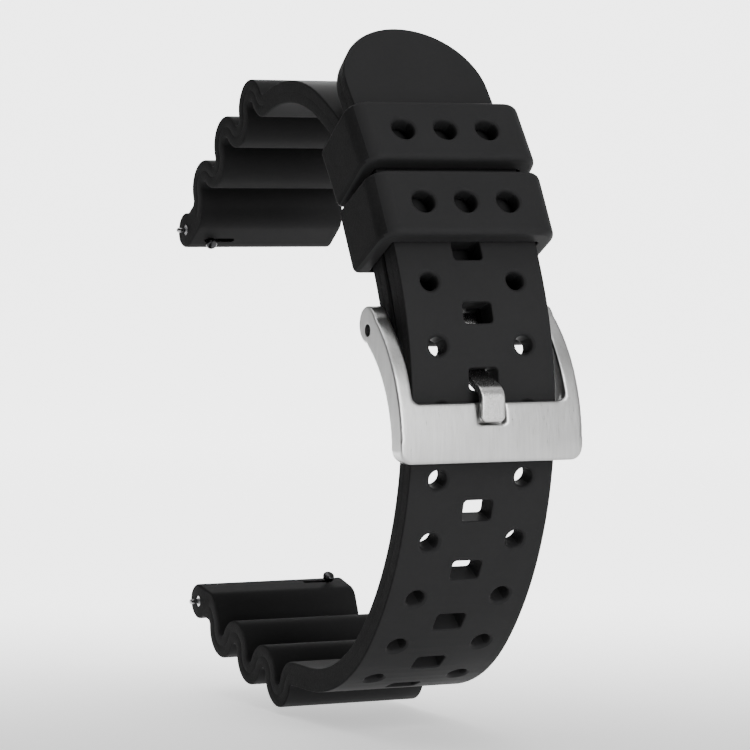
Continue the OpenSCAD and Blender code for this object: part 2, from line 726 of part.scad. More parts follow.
// Coil spring along Y as one unbroken round wire
module spring(outer_r, y0, y1) {
    per_coil = 12;
    sides = 6;
    rings = spring_coils * per_coil;
    mean_r = outer_r - spring_wire_r;
    climb = (y1 - y0 - 2 * spring_wire_r) / rings;
    points = [
        for (i = [0 : rings], j = [0 : sides - 1])
        let (a = 360 * i / per_coil, b = 360 * j / sides, r = mean_r + spring_wire_r * cos(b))
        [r * cos(a), y0 + spring_wire_r + climb * i + spring_wire_r * sin(b), r * sin(a)]];
    skin = [
        for (i = [0 : rings - 1], j = [0 : sides - 1])
        let (a = i * sides + j, b = i * sides + (j + 1) % sides)
        each [[a, b, a + sides], [b, b + sides, a + sides]]];
    ends = [
        for (j = [1 : sides - 2])
        each [[0, j + 1, j], [rings * sides, rings * sides + j, rings * sides + j + 1]]];
    polyhedron(points, concat(skin, ends));
}

buckle_spring_r = buckle_bore_r - 2 * pin_clear;
buckle_spring_half = buckle_shoulder - buckle_plunger_len - seat;

module buckle_bar_tube() {
    color(steel) at(bar, buckle_turn)
        tube(buckle_tube_r, buckle_bore_r, buckle_stem_r + pin_clear, buckle_tube_half);
}

module buckle_pin() {
    color(steel) at(bar, buckle_turn)
        pin([buckle_tip_r, arm_out - buckle_tip_sunk], [buckle_stem_r, arm_in - buckle_stem_gap],
            buckle_plunger_r, buckle_shoulder, buckle_plunger_len);
}

module buckle_bar_near_pin() {
    buckle_pin();
}

module buckle_bar_far_pin() {
    mirror([0, 1, 0]) buckle_pin();
}

module buckle_bar_spring() {
    color(bright_steel) at(bar, buckle_turn)
        spring(buckle_spring_r, -buckle_spring_half, buckle_spring_half);
}

// Lug bar with its knob towards +X and its sliding pin towards -Y
lug_tip = [lug_tip_r, lug_width / 2 + lug_tip_out];
lug_stem = [lug_stem_r, lug_width / 2 + lug_stem_out];
lug_spring_y = lug_shoulder - lug_fixed_len - seat;

module lug_tube() {
    slot_from = -knob_y - stud_r - stud_clear;
    slot_len = pin_travel + 2 * (stud_r + stud_clear);
    slot_w = 2 * (stud_r + stud_clear);
    color(steel) difference() {
        tube(lug_tube_r, lug_bore_r, lug_stem_r + pin_clear, lug_tube_half);
        translate([0, slot_from, -slot_w / 2]) cube([lug_tube_r + over, slot_len, slot_w]);
    }
}

module lug_fixed_pin() {
    color(steel) mirror([0, 1, 0])
        pin(lug_tip, lug_stem, lug_plunger_r, lug_shoulder, lug_fixed_len);
}

module lug_sliding_pin() {
    plunger_len = lug_spring_y - lug_spring_len - seat + lug_shoulder;
    color(steel) difference() {
        pin(lug_tip, lug_stem, lug_plunger_r, lug_shoulder, plunger_len);
        translate([-stud_r, -knob_y, 0]) rotate([0, 90, 0])
            cylinder(r = stud_r + seat, h = lug_plunger_r + stud_r + over);
    }
}

// Knob: a stud pressed into the plunger, with a rounded head outside the rubber
module lug_knob() {
    edge = knob_t / 4;
    color(bright_steel) translate([0, -knob_y, 0]) rotate([0, 90, 0]) {
        translate([0, 0, seat - stud_r]) cylinder(r = stud_r, h = stud_len + stud_r - seat);
        translate([0, 0, stud_len]) {
            cylinder(r1 = knob_r - edge, r2 = knob_r, h = edge);
            translate([0, 0, edge]) cylinder(r = knob_r, h = knob_t - 2 * edge);
            translate([0, 0, knob_t - edge]) cylinder(r1 = knob_r, r2 = knob_r - edge, h = edge);
        }
    }
}

module lug_spring() {
    color(bright_steel)
        spring(lug_bore_r - 2 * pin_clear, lug_spring_y - lug_spring_len, lug_spring_y);
}

module at_top() {
    at(short_start, short_slot_heading) children();
}

module at_bottom() {
    at(tail_end, tail_slot_heading) mirror([0, 1, 0]) children();
}

module top_bar_tube() {
    at_top() lug_tube();
}

module top_bar_fixed_pin() {
    at_top() lug_fixed_pin();
}

module top_bar_sliding_pin() {
    at_top() lug_sliding_pin();
}

module top_release_knob() {
    at_top() lug_knob();
}

module top_bar_spring() {
    at_top() lug_spring();
}

module bottom_bar_tube() {
    at_bottom() lug_tube();
}

module bottom_bar_fixed_pin() {
    at_bottom() lug_fixed_pin();
}

module bottom_bar_sliding_pin() {
    at_bottom() lug_sliding_pin();
}

module bottom_release_knob() {
    at_bottom() lug_knob();
}

module bottom_bar_spring() {
    at_bottom() lug_spring();
}

buckle_strap();
tail_strap();
upper_keeper();
lower_keeper();
buckle_frame();
buckle_tongue();
buckle_bar_tube();
buckle_bar_near_pin();
buckle_bar_far_pin();
buckle_bar_spring();
top_bar_tube();
top_bar_fixed_pin();
top_bar_sliding_pin();
top_release_knob();
top_bar_spring();
bottom_bar_tube();
bottom_bar_fixed_pin();
bottom_bar_sliding_pin();
bottom_release_knob();
bottom_bar_spring();
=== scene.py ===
"""Wavy rubber watch strap with a brushed steel pin buckle, closed into a loop.

Metres, in the part's own frame: +Z is up, Y runs across the strap, X points from the watch
to the buckle, and the origin is the middle of the upper lug bar.
"""
from math import asin, ceil, cos, degrees, pi, radians, sin, sqrt

import bmesh
import bpy
from mathutils import Matrix, Vector
from mathutils.kdtree import KDTree


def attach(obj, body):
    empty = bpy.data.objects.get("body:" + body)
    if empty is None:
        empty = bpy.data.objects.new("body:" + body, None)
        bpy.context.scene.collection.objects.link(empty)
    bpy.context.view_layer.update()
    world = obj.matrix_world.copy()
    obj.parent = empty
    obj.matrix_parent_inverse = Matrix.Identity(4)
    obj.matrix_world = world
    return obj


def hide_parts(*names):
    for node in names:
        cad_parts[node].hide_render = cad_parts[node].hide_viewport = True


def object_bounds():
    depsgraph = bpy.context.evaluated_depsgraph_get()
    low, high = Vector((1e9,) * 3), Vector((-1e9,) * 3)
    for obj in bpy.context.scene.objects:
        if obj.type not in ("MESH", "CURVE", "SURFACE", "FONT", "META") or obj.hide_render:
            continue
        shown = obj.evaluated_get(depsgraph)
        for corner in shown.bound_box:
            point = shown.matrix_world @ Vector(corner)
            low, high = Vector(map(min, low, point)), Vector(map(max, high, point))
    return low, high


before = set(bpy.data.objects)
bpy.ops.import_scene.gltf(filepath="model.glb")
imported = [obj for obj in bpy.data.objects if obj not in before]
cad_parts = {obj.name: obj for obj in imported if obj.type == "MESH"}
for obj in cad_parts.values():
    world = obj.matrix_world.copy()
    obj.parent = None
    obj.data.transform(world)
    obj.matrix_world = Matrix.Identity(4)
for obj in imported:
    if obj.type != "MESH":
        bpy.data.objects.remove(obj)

cad_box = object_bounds()
MM = 0.001

# Sizes of the part in millimetres and degrees, as in its source.
LUG_WIDTH = 22
STRAP_WIDTH = 20
SHORT_T = 3
TAIL_T = 3.1
LAP_GAP = 0.7
LUG_END_R = 2.4
BUCKLE_END_R = 2.15
TONGUE_CUT_W = 4
WAVE_R = 2.31
HOLE_PITCH = 8.36
TONGUE_ROWS = 9
USED_ROW = 3
TONGUE_HOLE = (2.7, 4)
TONGUE_HOLE_CORNER = 0.5
VENT_OFFSET = 5.98
LUG_BORE_R = 0.79
BUCKLE_BORE_R = 0.94
FINGER_SLOT = (0.8, 4.5)
FINGER_SLOT_FAR = 8.98
KNOB_LEAN = 22.5
KNOB_Y = 8.2

SHORT_START = (0, 0, 34.55)
SHORT_NECK = 3.7
SHORT_WAVY = [(0, SHORT_NECK), (WAVE_R, 79.85), (WAVE_R, -151), (WAVE_R, 154.7), (WAVE_R, -163.8),
              (WAVE_R, 154.7), (WAVE_R, -166.7), (WAVE_R, 75.4)]
LAP_R = 78.5
LAP_TURN = 17
SHORT_FLAT = [(0, 1.4), (21.5, -43.6), (75.6, -3.5), (19.7, -24.3), (LAP_R, -LAP_TURN)]
TAIL_LIFT = 2.98
TAIL_PAST = 39.4
TIP_LEN = 14
TAIL_FRONT_R = 41.05
TAIL_FLAT = [(TAIL_FRONT_R, -68), (24.07, -45.5), (0, 4.94)]
TAIL_NECK = 3.55
TAIL_WAVY = [(WAVE_R, 76.55), (WAVE_R, -166.7), (WAVE_R, 157), (WAVE_R, -161.5),
             (WAVE_R, 157), (WAVE_R, -153.85), (WAVE_R, 80.4), (0, TAIL_NECK)]

TONGUE_DROP = 6.65
TONGUE_T = 1.1
TONGUE_CLEAR = 0.1
FRAME_LEAN = 19.3

KEEPER_LEN = 9.1
KEEPER_GAP = 1.35
KEEPER_ABOVE = 9.7
KEEPER_HOLLOW = (-7.5, 0.2)
KEEPER_OUT = (-8.35, 2.7)
KEEPER_HOLLOW_W = 20.4
KEEPER_HOLLOW_CORNER = 0.4
KEEPER_W = 24.6
KEEPER_CORNER = 2.7
KEEPER_EDGE = 0.9
KEEPER_HOLE_D = 3
KEEPER_HOLE_GAP = 5.9

# The tongue: a strip curled round the bar, down behind the tail, out and over the crossbar.
TONGUE_STRIP = (3.3, 1.0)
TONGUE_EYE_W = 3.8
TONGUE_EYE_R = 1.5
TONGUE_CURL = 280
TONGUE_FALL = 78
TONGUE_BENDS = [(0, 4.6), (1, 55), (0, 5.799), (1.5, -67), (0, 2.65)]
TONGUE_NARROWS_AFTER = 2
TONGUE_CORNER = 0.2
TONGUE_TIP_R = 0.8
TONGUE_EDGE = 0.22
TONGUE_STEP_TURN = 6
TONGUE_STEP_LEN = 0.5

# The frame: cell of the even mesh it is made into, how often its edges are worn, and the hole
# in its arms.
FRAME_GRID = 0.14
FRAME_TUMBLE = 16
FRAME_HOLE_R = 0.8

# Sizes that only the finished look has; the first two differ from the source.
TONGUE_CUT_RISE = 2.3
VENT_D = 2.3
TONGUE_CUT_CORNERS = [0.6, 0.1, 0.1, 0.6]
STRAP_EDGE = 0.22
EDGE_STRIP = 0.1
END_FILLET = 0.8
BELLY_FILLET = 0.5
EYE_BLEND = 2.9
RECT_FLARE = 0.2
ROUND_FLARE = 0.55
PART_LINE_W = 0.16
PART_LINE_DEPTH = 0.03
KEEPER_ROUND = 0.8
KEEPER_MOUTH = 0.2
KEEPER_HOLE_FLARE = 0.5
FLARE_PAST = 1.3
FLARE_ANGLES = (12, 30, 50, 70, 90)

# A release knob from the side, as radius and distance from the bar: its stud, then centre and
# radius of the collar's rim and of the dome, and the top.
KNOB_STUD = [(0, 0.3), (0.28, 0.3), (0.28, 2.95), (0.34, 3.05), (0.6, 3.1)]
KNOB_RIM = ((0.62, 3.28), 0.18)
KNOB_DOME = ((0.45, 3.52), 0.36)
KNOB_TOP = 3.9

# How finely round forms are divided: degrees or millimetres a step, or number of facets.
BEND_STEP_TURN = 5
BEND_STEP_LEN = 1.5
END_ANGLES = range(6, 90, 7)
TIP_CLEAR = 0.5
TIP_FACETS = 48
ROUND_FACETS = 40
KNOB_FACETS = 32
ROUTE_SAMPLES = 400

# Cutters run OVER past a face, vertices closer than MERGE or FINE_MERGE become one, and NEAR
# and LEVEL are the slack in telling whether places are the same.
OVER = 1
MERGE = 0.002
FINE_MERGE = 0.001
SLICE_MERGE = 0.0005
NEAR = 0.01
LEVEL = 1e-5

# How squarely a face looks sideways or to the wrist before it takes that side's rubber.
WALL_FACING = 0.7
WRIST_FACING = -0.6

# The paper in metres, before it is turned to the camera.
PAPER_FRONT = 0.7
PAPER_BACK = -0.55
PAPER_CURVE_R = 0.25
PAPER_TOP = 0.6
PAPER_HALF_W = 0.7
PAPER_UNDER = 0.001
# Metres towards the camera, and to both sides, between which the paper's painted glow fades.
PAPER_DIM = (-0.12, 0.08)
PAPER_SIDE = (0.22, 0.34)
# Direction of the dim part of the room, which the buckle's near edges reflect, and how squarely
# a ray points there where it starts and is full; then its light and what the rest has more.
DIM_SIDE = (0.42, -0.91)
DIM_EDGE = (0.35, 0.9)
DIM_LIGHT = 0.05
ROOM_MORE = 0.42

# The photograph's camera: angles in radians, places in millimetres.
CAMERA_YAW = 0.446177
CAMERA_PITCH = 0.0428076
LENS_PIXELS = 3537.42
PICTURE_PIXELS = 750
SENSOR_W = 36
CAMERA_AIM = (1.35, 0, -2.2)
CAMERA_SHIFT = (16.0876, -18.2275)
CAMERA_FAR = 498.856


def left(heading):
    """Direction square to a heading, on its left."""
    return Vector((-sin(radians(heading)), cos(radians(heading))))


def after(pose, step):
    """Pose (x, z, heading) at the end of a bend (radius, turn) or a straight run (0, length)."""
    x, z, heading = pose
    radius, amount = step
    if radius == 0:
        return x + amount * cos(radians(heading)), z + amount * sin(radians(heading)), heading
    side = radius if amount > 0 else -radius
    moved = Vector((x, z)) + side * (left(heading) - left(heading + amount))
    return moved.x, moved.y, heading + amount


def mid_length(step):
    """Length of a bend or a straight run along the middle line."""
    radius, amount = step
    return amount if radius == 0 else radius * radians(abs(amount))


class Route:
    """The middle line of a strap in the X-Z plane, with its outer face on the left."""

    def __init__(self, start, steps, thickness):
        self.steps = steps
        self.thickness = thickness
        self.poses = [start]
        self.lengths = [0]
        for step in steps:
            self.poses.append(after(self.poses[-1], step))
            self.lengths.append(self.lengths[-1] + mid_length(step))
        self.length = self.lengths[-1]

    def pose(self, s):
        """Pose at a length along the middle line; both ends run on straight."""
        if s <= 0:
            return after(self.poses[0], (0, s))
        for i, step in enumerate(self.steps):
            if s <= self.lengths[i + 1]:
                share = (s - self.lengths[i]) / mid_length(step)
                return after(self.poses[i], (step[0], step[1] * share))
        return after(self.poses[-1], (0, s - self.length))

    def from_face(self, face_s):
        """Length on the middle line where face_s has been passed on the outer face."""
        for i, step in enumerate(self.steps):
            radius, amount = step
            ratio = 1
            if radius:
                ratio = 1 - self.thickness / 2 / radius * (1 if amount > 0 else -1)
            face = mid_length(step) * ratio
            if face_s <= face:
                return self.lengths[i] + face_s / ratio
            face_s -= face
        return self.length + face_s

    def stations(self, step_angle, step_length):
        """Lengths at which a straight strap is divided so that it bends smoothly."""
        found = []
        for i, step in enumerate(self.steps):
            turn = abs(step[1]) if step[0] else 0
            count = max(ceil(turn / step_angle), ceil(mid_length(step) / step_length))
            found += [self.lengths[i] + mid_length(step) * k / count for k in range(count)]
        return found + [self.length]


short = Route(SHORT_START, SHORT_WAVY + SHORT_FLAT, SHORT_T)
short_end = short.poses[-1]
lap_centre = Vector(short_end[:2]) - LAP_R * left(short_end[2])
bar = Vector(short_end[:2]) - (BUCKLE_END_R - SHORT_T / 2) * left(short_end[2])
buckle_turn = short_end[2] + 90 - FRAME_LEAN

tail_lap_r = LAP_R + SHORT_T / 2 + LAP_GAP + TAIL_T / 2
tail_face_r = tail_lap_r + TAIL_T / 2
lift_heading = short_end[2] + TAIL_LIFT
past_turn = degrees((TAIL_PAST - TIP_LEN) / tail_face_r)
past = lap_centre + tail_lap_r * left(lift_heading + past_turn)
tail_steps = [(0, TIP_LEN), (tail_lap_r, -past_turn)] + TAIL_FLAT
tail = Route(after((past.x, past.y, lift_heading + past_turn), (0, -TIP_LEN)),
             tail_steps + TAIL_WAVY, TAIL_T)


def as_object(name, mesh):
    """An object for a finished bmesh, linked to the scene."""
    bmesh.ops.recalc_face_normals(mesh, faces=mesh.faces)
    data = bpy.data.meshes.new(name)
    mesh.to_mesh(data)
    mesh.free()
    made = bpy.data.objects.new(name, data)
    bpy.context.scene.collection.objects.link(made)
    return made


def new_piece(name, mesh, body, nodes, sharp_above=40):
    """A piece in metres from a bmesh in millimetres, on a body, in place of CAD nodes."""
    bmesh.ops.scale(mesh, vec=(MM, MM, MM), verts=mesh.verts)
    piece = as_object(name, mesh)
    for face in piece.data.polygons:
        face.use_smooth = True
    piece.data.set_sharp_from_angle(angle=radians(sharp_above))
    piece.modifiers.new("even shading", "WEIGHTED_NORMAL").keep_sharp = True
    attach(piece, body)
    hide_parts(*nodes)
    return piece


def cut(mesh, cutters):
    """Takes the cutters, a closed bmesh, out of a closed bmesh."""
    body = as_object("body", mesh)
    tool = as_object("tool", cutters)
    hole = body.modifiers.new("cut", "BOOLEAN")
    hole.operation = "DIFFERENCE"
    hole.solver = "EXACT"
    hole.object = tool
    result = bmesh.new()
    result.from_object(body, bpy.context.evaluated_depsgraph_get())
    bpy.data.objects.remove(body)
    bpy.data.objects.remove(tool)
    bmesh.ops.remove_doubles(result, verts=result.verts, dist=MERGE)
    return result


def slice_along(mesh, axis, places):
    """Divides a mesh by planes square to an axis."""
    normal = Vector([1 if i == axis else 0 for i in range(3)])
    for place in places:
        geometry = mesh.verts[:] + mesh.edges[:] + mesh.faces[:]
        bmesh.ops.bisect_plane(mesh, geom=geometry, dist=SLICE_MERGE, plane_co=normal * place,
                               plane_no=normal)


def arc(centre, radius, start, end, count):
    """Points of an arc, both ends included."""
    angles = [radians(start + (end - start) * k / count) for k in range(count + 1)]
    return [(centre[0] + radius * cos(a), centre[1] + radius * sin(a)) for a in angles]


def rounded_rect(low, high, radii, count=6):
    """Outline of a rectangle; radii go round from the low, low corner."""
    corners = [(low[0], low[1]), (high[0], low[1]), (high[0], high[1]), (low[0], high[1])]
    outline = []
    for i, (x, y) in enumerate(corners):
        r = radii[i]
        centre = (x + (r if x == low[0] else -r), y + (r if y == low[1] else -r))
        outline += arc(centre, r, 180 + 90 * i, 270 + 90 * i, count)
    return outline


def prism(mesh, outline, z_low, z_high):
    """Adds a solid of that outline between two heights, and returns its vertices."""
    base = mesh.faces.new([mesh.verts.new((x, y, z_low)) for x, y in outline])
    made = bmesh.ops.extrude_face_region(mesh, geom=[base])["geom"]
    top = [v for v in made if isinstance(v, bmesh.types.BMVert)]
    bmesh.ops.translate(mesh, vec=(0, 0, z_high - z_low), verts=top)
    return base.verts[:] + top


def slab(outline, z_low, z_high, edge, segments=3):
    """A solid of that outline whose edges round both faces are softened."""
    mesh = bmesh.new()
    prism(mesh, outline, z_low, z_high)
    rims = [e for e in mesh.edges if abs(e.verts[0].co.z - e.verts[1].co.z) < LEVEL]
    bmesh.ops.bevel(mesh, geom=rims, offset=edge, offset_type="OFFSET", affect="EDGES",
                    segments=segments, profile=0.5, material=-1)
    return mesh


def flared_cutter(mesh, outline, half_size, flare, depths, place):
    """Adds a cutter along Z that opens softly where it comes out at each of two depths."""
    low, high = depths
    mouth = [(flare * (1 - cos(radians(a))), flare * (1 - sin(radians(a)))) for a in FLARE_ANGLES]
    levels = [(low - OVER, flare * FLARE_PAST)]
    levels += [(low + depth, grow) for depth, grow in mouth]
    levels += [(high - depth, grow) for depth, grow in reversed(mouth)]
    levels.append((high + OVER, flare * FLARE_PAST))
    ring = [mesh.verts.new((x, y, 0)) for x, y in outline]
    face = mesh.faces.new(ring)
    added = list(ring)
    grown = 0
    for i, (z, grow) in enumerate(levels):
        if i:
            made = bmesh.ops.extrude_face_region(mesh, geom=[face])["geom"]
            if i > 1:
                bmesh.ops.delete(mesh, geom=[face], context="FACES_ONLY")
            face = next(g for g in made if isinstance(g, bmesh.types.BMFace))
            added += list(face.verts)
        for vert in face.verts:
            x = vert.co.x * (half_size[0] + grow) / (half_size[0] + grown)
            y = vert.co.y * (half_size[1] + grow) / (half_size[1] + grown)
            vert.co = (x, y, z)
        grown = grow
    bmesh.ops.translate(mesh, vec=place, verts=added)


def round_outline(radius):
    return arc((0, 0), radius, 0, 360, ROUND_FACETS)[:-1]


def reach(x, radius, flat, fillet):
    """Height of a strap's round end over its middle, running into the flat face as x grows."""
    far = sqrt(max((radius + fillet) ** 2 - (flat + fillet) ** 2, 0))
    if x <= far * radius / (radius + fillet):
        return sqrt(max(radius ** 2 - x ** 2, 0))
    if x < far:
        return flat + fillet - sqrt(fillet ** 2 - (far - x) ** 2)
    return flat


def neck_depth(x, neck, flat):
    """Depth of a strap on its wrist side, x from its lug bar; its neck is as deep as its end."""
    if x < 0:
        return sqrt(max(LUG_END_R ** 2 - x ** 2, 0))
    turn = max(x - neck, 0) / WAVE_R
    if turn > pi / 2:
        return flat
    deep = WAVE_R * (cos(turn) - 1) + sqrt(LUG_END_R ** 2 - (WAVE_R * sin(turn)) ** 2)
    blend = max(BELLY_FILLET - abs(deep - flat), 0)
    return max(deep, flat) + blend ** 2 / BELLY_FILLET / 4


def part_line(mesh, tip_r=0):
    """Presses the fine line that the mould's halves leave round a strap's side walls."""
    slice_along(mesh, 2, (-PART_LINE_W / 2, 0, PART_LINE_W / 2))
    for vert in mesh.verts:
        if abs(vert.co.z) < LEVEL:
            out = Vector((0, vert.co.y, 0))
            if vert.co.x < tip_r:
                out.x = vert.co.x - tip_r
            if out.length > STRAP_WIDTH / 2 - NEAR:
                vert.co -= out.normalized() * PART_LINE_DEPTH


def bend(mesh, route, width_at, span):
    """Bends a straight strap along its route, width and thickness following their functions."""
    for vert in mesh.verts:
        s, y, n = vert.co
        low, high = span(s)
        share = n / route.thickness + 0.5
        x, z, heading = route.pose(s)
        place = Vector((x, z)) + (low + share * (high - low)) * left(heading)
        vert.co = (place.x, y * width_at(s, place) / STRAP_WIDTH, place.y)
    bmesh.ops.remove_doubles(mesh, verts=mesh.verts, dist=MERGE)


def wavy_width(route, lug, away):
    """Width of a wavy end: lug width at the bar, strap width from the last wave on."""
    chord = Vector(away[:2]) - Vector(lug[:2])
    narrow = chord.length - WAVE_R - SHORT_T

    def width_at(s, place):
        passed = (place - Vector(lug[:2])).dot(chord.normalized()) / narrow
        return LUG_WIDTH + (STRAP_WIDTH - LUG_WIDTH) * min(max(passed, 0), 1)

    return width_at


def at(place, heading):
    """Turns a solid whose X axis points along a heading and moves it to a place."""
    return Matrix.Translation((place[0], 0, place[1])) @ Matrix.Rotation(-radians(heading), 4, "Y")


def bored(mesh, radius, place):
    """The solid with a round bore along Y through a place."""
    cutter = bmesh.new()
    verts = prism(cutter, round_outline(radius), -LUG_WIDTH, LUG_WIDTH)
    turn = Matrix.Translation((place[0], 0, place[1])) @ Matrix.Rotation(pi / 2, 4, "X")
    bmesh.ops.transform(cutter, matrix=turn, verts=verts)
    return cut(mesh, cutter)


def slotted(mesh, lug, heading, side):
    """The solid with the slot that a release knob slides in."""
    width, length = FINGER_SLOT
    outline = rounded_rect((-width / 2, FINGER_SLOT_FAR - length), (width / 2, FINGER_SLOT_FAR),
                           [width / 2 - NEAR] * 4)
    cutter = bmesh.new()
    verts = prism(cutter, [(x, y * side) for x, y in outline], 0, LUG_END_R + OVER)
    turn = at(lug, heading) @ Matrix.Rotation(pi / 2, 4, "Y")
    bmesh.ops.transform(cutter, matrix=turn, verts=verts)
    return cut(mesh, cutter)


def tongue_cut(mesh):
    """The short strap with the cut that the tongue's eye sits in."""
    outline = rounded_rect((-TONGUE_CUT_RISE, -TONGUE_CUT_W / 2),
                           (BUCKLE_END_R + 2 * OVER, TONGUE_CUT_W / 2), TONGUE_CUT_CORNERS)
    cutter = bmesh.new()
    verts = prism(cutter, outline, -BUCKLE_END_R - OVER, BUCKLE_END_R + OVER)
    bmesh.ops.transform(cutter, matrix=at(bar, short_end[2]), verts=verts)
    return cut(mesh, cutter)


def end_stations(centre, radius, direction):
    """Places across a strap's round end, closer towards its tip."""
    return [centre + direction * radius * sin(radians(a)) for a in END_ANGLES]


def short_strap():
    """Short strap: wavy from the upper lug bar, then smooth to the buckle's bar."""
    half_w = STRAP_WIDTH / 2
    far = short.length + BUCKLE_END_R
    outline = [(-LUG_END_R, -half_w), (far, -half_w), (far, half_w), (-LUG_END_R, half_w)]
    mesh = slab(outline, -SHORT_T / 2, SHORT_T / 2, STRAP_EDGE)
    part_line(mesh)
    cuts = short.stations(BEND_STEP_TURN, BEND_STEP_LEN)
    cuts += end_stations(0, LUG_END_R, -1) + end_stations(0, LUG_END_R, 1)
    cuts += end_stations(short.length, BUCKLE_END_R, 1)
    cuts += end_stations(short.length, EYE_BLEND, -1)
    slice_along(mesh, 0, sorted(cuts))
    strip = half_w - STRAP_EDGE - EDGE_STRIP
    slice_along(mesh, 1, (-strip, strip))
    wavy_end = short.lengths[len(SHORT_WAVY)]
    half = SHORT_T / 2
    buckle_mid = half - BUCKLE_END_R

    def span(s):
        if s < short.length / 2:
            return -neck_depth(s, SHORT_NECK, half), reach(s, LUG_END_R, half, END_FILLET)
        x = short.length - s
        high = buckle_mid + reach(x, BUCKLE_END_R, half - buckle_mid, END_FILLET)
        return buckle_mid - reach(x, BUCKLE_END_R, half + buckle_mid, END_FILLET), high

    taper = wavy_width(short, SHORT_START, short.poses[len(SHORT_WAVY)])
    bend(mesh, short, lambda s, place: taper(s, place) if s < wavy_end else STRAP_WIDTH, span)
    mesh = bored(mesh, LUG_BORE_R, SHORT_START)
    mesh = slotted(mesh, SHORT_START, SHORT_START[2] - 90 + KNOB_LEAN, -1)
    mesh = bored(mesh, BUCKLE_BORE_R, bar)
    return tongue_cut(mesh)


def hole_places():
    """Outer-face lengths of the tongue holes, counted from the tip."""
    lift_place = lap_centre + tail_lap_r * left(lift_heading)
    front_centre = lift_place - TAIL_FRONT_R * left(lift_heading)
    front_face_r = TAIL_FRONT_R + TAIL_T / 2
    turn = Matrix.Rotation(-radians(buckle_turn), 2)
    centre_z = (turn @ (front_centre - bar)).y
    hole_z = -TONGUE_DROP - TONGUE_T / 2 - TONGUE_CLEAR + TONGUE_HOLE[0] / 2
    angle = degrees(asin((hole_z - centre_z) / front_face_r)) + buckle_turn
    used = TAIL_PAST + front_face_r * radians(lift_heading + 90 - angle)
    return [used + (k - USED_ROW) * HOLE_PITCH for k in range(1, TONGUE_ROWS + 1)]


def tail_holes():
    """Cutters for the tongue holes and the pairs of vents, for the tail while it is straight."""
    cutters = bmesh.new()
    depths = (-TAIL_T / 2, TAIL_T / 2)
    size = (TONGUE_HOLE[0] / 2, TONGUE_HOLE[1] / 2)
    outline = rounded_rect((-size[0], -size[1]), size, [TONGUE_HOLE_CORNER] * 4, 4)
    places = hole_places()
    for face_s in places:
        flared_cutter(cutters, outline, size, RECT_FLARE, depths, (tail.from_face(face_s), 0, 0))
    for face_s in places[:-1]:
        for side in (-1, 1):
            place = (tail.from_face(face_s + HOLE_PITCH / 2), side * VENT_OFFSET, 0)
            flared_cutter(cutters, round_outline(VENT_D / 2), (VENT_D / 2, VENT_D / 2),
                          ROUND_FLARE, depths, place)
    return cutters


def tail_strap():
    """Tail: rounded tip, rows of holes, and wavy to the lower lug bar."""
    half_w = STRAP_WIDTH / 2
    far = tail.length + LUG_END_R
    outline = arc((half_w, 0), half_w, 270, 90, TIP_FACETS) + [(far, half_w), (far, -half_w)]
    mesh = slab(outline, -TAIL_T / 2, TAIL_T / 2, STRAP_EDGE)
    part_line(mesh, half_w)
    cuts = [s for s in tail.stations(BEND_STEP_TURN, BEND_STEP_LEN) if s > TIP_CLEAR]
    cuts += end_stations(tail.length, LUG_END_R, 1) + end_stations(tail.length, LUG_END_R, -1)
    slice_along(mesh, 0, sorted(cuts))
    strip = half_w - STRAP_EDGE - EDGE_STRIP
    slice_along(mesh, 1, (-strip, strip))
    mesh = cut(mesh, tail_holes())
    wavy_from = tail.lengths[len(tail_steps)]
    half = TAIL_T / 2

    def span(s):
        x = tail.length - s
        return -neck_depth(x, TAIL_NECK, half), reach(x, LUG_END_R, half, END_FILLET)

    taper = wavy_width(tail, tail.poses[-1], tail.poses[len(tail_steps)])
    bend(mesh, tail, lambda s, place: taper(s, place) if s > wavy_from else STRAP_WIDTH, span)
    lug = tail.poses[-1]
    mesh = bored(mesh, LUG_BORE_R, lug)
    return slotted(mesh, lug, lug[2] + 270 - KNOB_LEAN, 1)


def keeper(middle_angle):
    """Rubber loop with softened edges and flared holes, at an angle round the lap."""
    half = KEEPER_LEN / 2
    high = (KEEPER_OUT[1], KEEPER_W / 2)
    outline = rounded_rect((KEEPER_OUT[0], -KEEPER_W / 2), high,
                           [KEEPER_EDGE, KEEPER_CORNER, KEEPER_CORNER, KEEPER_EDGE])
    mesh = slab(outline, -half, half, KEEPER_ROUND, 4)
    cutters = bmesh.new()
    middle = (KEEPER_HOLLOW[0] + KEEPER_HOLLOW[1]) / 2
    size = ((KEEPER_HOLLOW[1] - KEEPER_HOLLOW[0]) / 2, KEEPER_HOLLOW_W / 2)
    hollow = rounded_rect((-size[0], -size[1]), size, [KEEPER_HOLLOW_CORNER] * 4)
    flared_cutter(cutters, hollow, size, KEEPER_MOUTH, (-half, half), (middle, 0, 0))
    mesh = cut(mesh, cutters)
    swap = Matrix(((0, 0, 1, 0), (0, 1, 0, 0), (1, 0, 0, 0), (0, 0, 0, 1)))
    bmesh.ops.transform(mesh, matrix=swap, verts=mesh.verts)
    cutters = bmesh.new()
    for k in (-1, 0, 1):
        flared_cutter(cutters, round_outline(KEEPER_HOLE_D / 2), (KEEPER_HOLE_D / 2,) * 2,
                      KEEPER_HOLE_FLARE, (KEEPER_HOLLOW[1], KEEPER_OUT[1]),
                      (0, k * KEEPER_HOLE_GAP, 0))
    mesh = cut(mesh, cutters)
    place = lap_centre - tail_face_r * left(middle_angle + 90)
    bmesh.ops.transform(mesh, matrix=at(place, middle_angle) @ swap, verts=mesh.verts)
    return mesh


